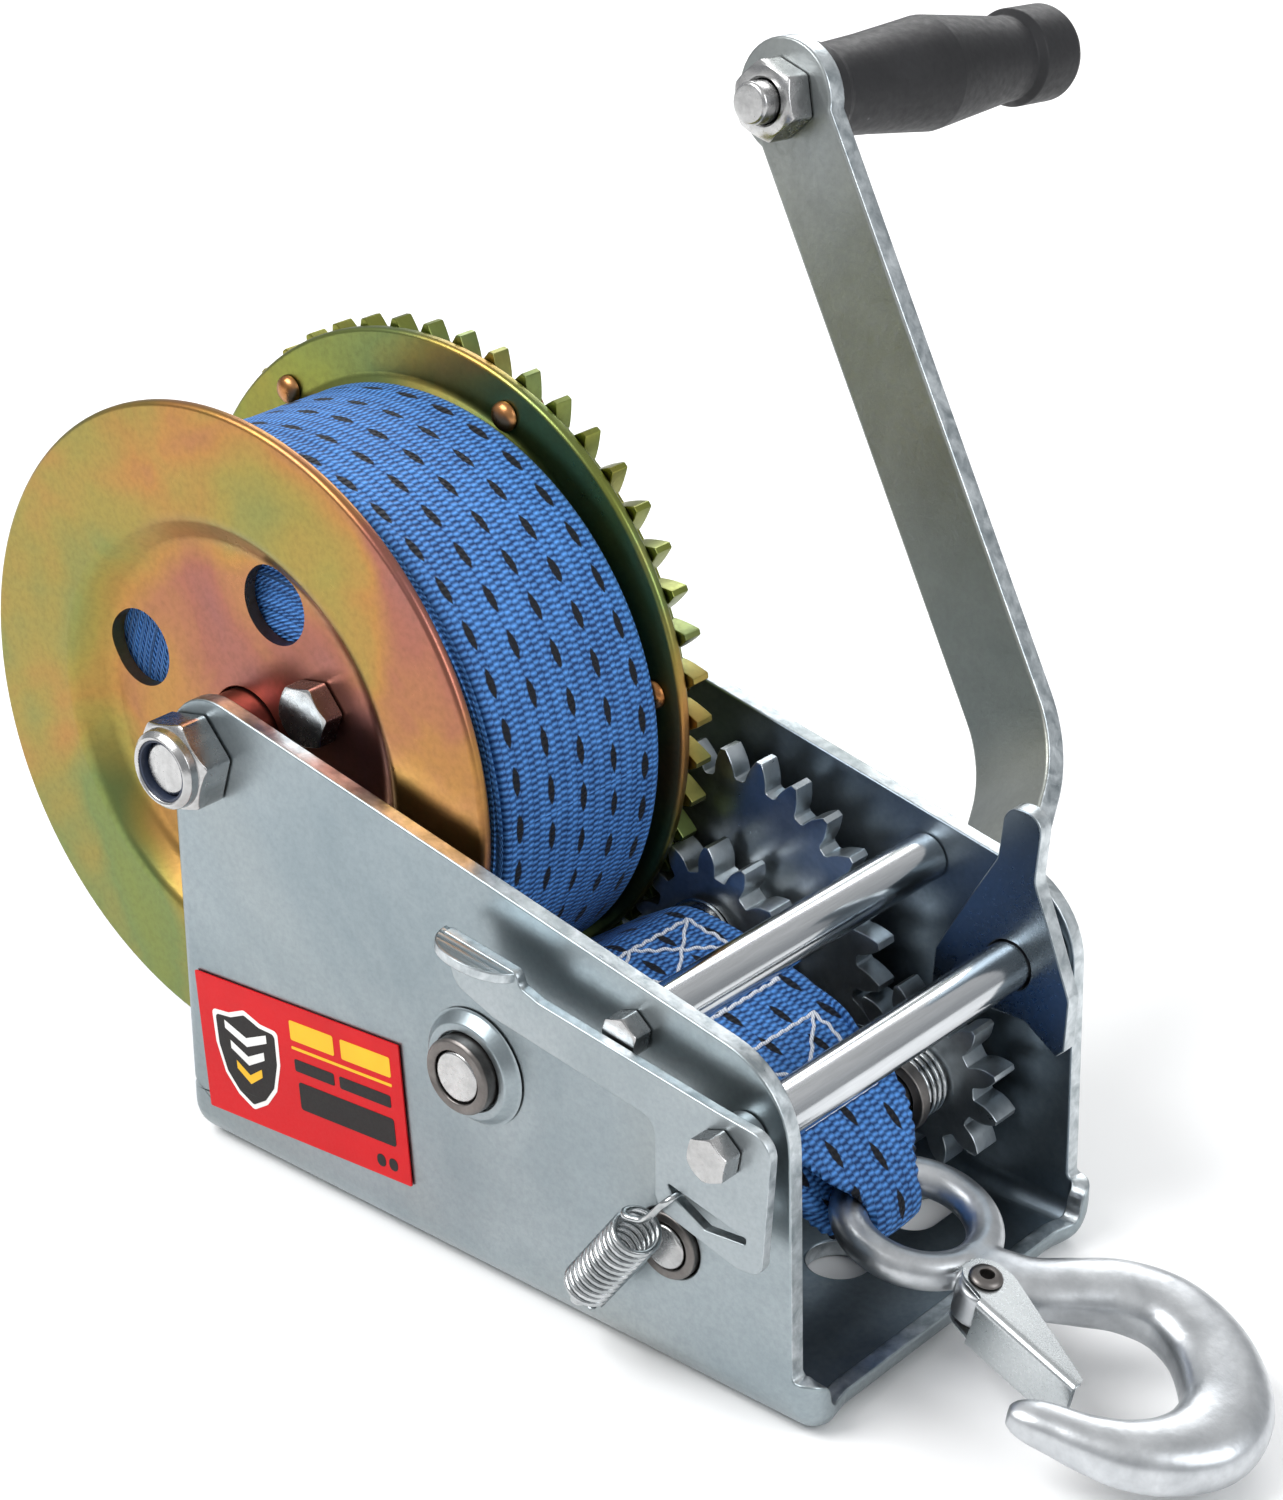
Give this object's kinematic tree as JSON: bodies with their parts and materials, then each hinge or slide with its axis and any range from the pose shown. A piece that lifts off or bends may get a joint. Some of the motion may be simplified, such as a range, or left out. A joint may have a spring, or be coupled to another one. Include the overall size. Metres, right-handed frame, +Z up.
{
  "type": "boat trailer hand winch",
  "caption": "Geared hand winch for a boat trailer, with a wide webbing strap on a flanged drum, a cranked handle, a ratchet pawl and a snap hook.",
  "frame": {"origin": "on the underside of the base, midway between its ends and between the side plates", "axes": "+X towards the hook end, +Y towards the gears and the crank, +Z up from the surface the base is bolted to"},
  "size_m": [0.3172, 0.2813, 0.2239],
  "materials": {
    "zinc_plate": "clear zinc plated sheet, bluish silver",
    "zinc_gear": "zinc plated machined steel",
    "bright_steel": "bright plated bolts and tubes",
    "bush_steel": "sintered steel, grey",
    "yellow_zinc": "iridescent yellow zinc",
    "copper_rivet": "coppery plated rivet",
    "webbing": "blue woven polyester webbing with black tracer dashes",
    "grip_plastic": "matt black plastic",
    "label_red": "red printed film",
    "hook_steel": "forged, bright zinc plated"
  },
  "bodies": {
    "frame": {"frame_channel": "zinc_plate", "label_plate": "label_red", "axle_bolt": "bright_steel", "axle_nut": "bright_steel", "axle_sleeve": "yellow_zinc", "middle_bush_near": "bush_steel", "middle_bush_far": "bush_steel", "crank_bush_near": "bush_steel", "crank_bush_far": "bush_steel", "rear_tube": "bright_steel", "rear_tube_bolt": "bright_steel", "rear_tube_nut": "bright_steel", "front_tube": "bright_steel", "front_tube_bolt": "bright_steel", "front_tube_nut": "bright_steel", "pawl_collar": "bush_steel", "lever_spacer": "bush_steel", "lever_spring": "bright_steel", "strap_tail": "webbing"},
    "drum": {"near_flange": "yellow_zinc", "far_flange": "yellow_zinc", "drum_core": "yellow_zinc", "drum_gear": "yellow_zinc", "gear_rivet_1": "copper_rivet", "gear_rivet_2": "copper_rivet", "gear_rivet_3": "copper_rivet", "gear_rivet_4": "copper_rivet", "gear_rivet_5": "copper_rivet", "gear_rivet_6": "copper_rivet", "anchor_bolt": "bright_steel", "anchor_nut": "bright_steel", "strap_roll": "webbing"},
    "middle_shaft_set": {"middle_shaft": "zinc_gear", "middle_gear": "zinc_gear", "small_pinion": "zinc_gear", "middle_snap_ring": "bush_steel"},
    "crank": {"crank_shaft": "zinc_gear", "crank_pinion": "zinc_gear", "spring_collar": "bush_steel", "thrust_spring": "bright_steel", "crank_arm": "zinc_plate", "crank_nut": "bright_steel", "grip_bolt": "bright_steel", "grip_nut": "bright_steel"},
    "handle_grip": {"grip": "grip_plastic"},
    "pawl": {"ratchet_pawl": "zinc_plate"},
    "lever": {"lock_lever": "zinc_plate"},
    "hook": {"hook_body": "hook_steel", "latch_rivet": "bush_steel"},
    "latch": {"hook_latch": "zinc_plate"}
  },
  "joints": [
    {"name": "drum_spin", "type": "hinge", "parent": "frame", "child": "drum", "pos_m": [-0.0782, 0, 0.0982], "axis": [0, 1, 0], "continuous": true},
    {"name": "middle_spin", "type": "hinge", "parent": "frame", "child": "middle_shaft_set", "pos_m": [0.00112, 0, 0.05259], "axis": [0, 1, 0], "continuous": true},
    {"name": "crank_spin", "type": "hinge", "parent": "frame", "child": "crank", "pos_m": [0.05276, 0, 0.03225], "axis": [0, 1, 0], "continuous": true},
    {"name": "grip_spin", "type": "hinge", "parent": "crank", "child": "handle_grip", "pos_m": [-0.05473, 0.1175, 0.21009], "axis": [0.0455, 0.9961, -0.0752], "continuous": true},
    {"name": "pawl_tilt", "type": "hinge", "parent": "frame", "child": "pawl", "pos_m": [0.0725, 0, 0.0658], "axis": [0, 1, 0], "range_deg": [0, 44]},
    {"name": "lever_tilt", "type": "hinge", "parent": "frame", "child": "lever", "pos_m": [0.0725, 0, 0.0658], "axis": [0, 1, 0], "range_deg": [0, 14], "stiffness_Nm_per_rad": 0.6, "springref_deg": -14.32, "deforming": ["lever_spring"]},
    {"name": "hook_swing", "type": "hinge", "parent": "frame", "child": "hook", "pos_m": [0.06768, -0.006, 0.03084], "axis": [0, 1, 0], "range_deg": [-8, 0]},
    {"name": "latch_tilt", "type": "hinge", "parent": "hook", "child": "latch", "pos_m": [0.10292, -0.0142, 0.02258], "axis": [0.2284, 0, 0.9736], "range_deg": [0, 24], "stiffness_Nm_per_rad": 0.03, "springref_deg": -28.65}
  ],
  "couplings": [
    {"joint": "middle_spin", "follows": "drum_spin", "ratio": -4.0833},
    {"joint": "crank_spin", "follows": "drum_spin", "ratio": 8.5069}
  ]
}
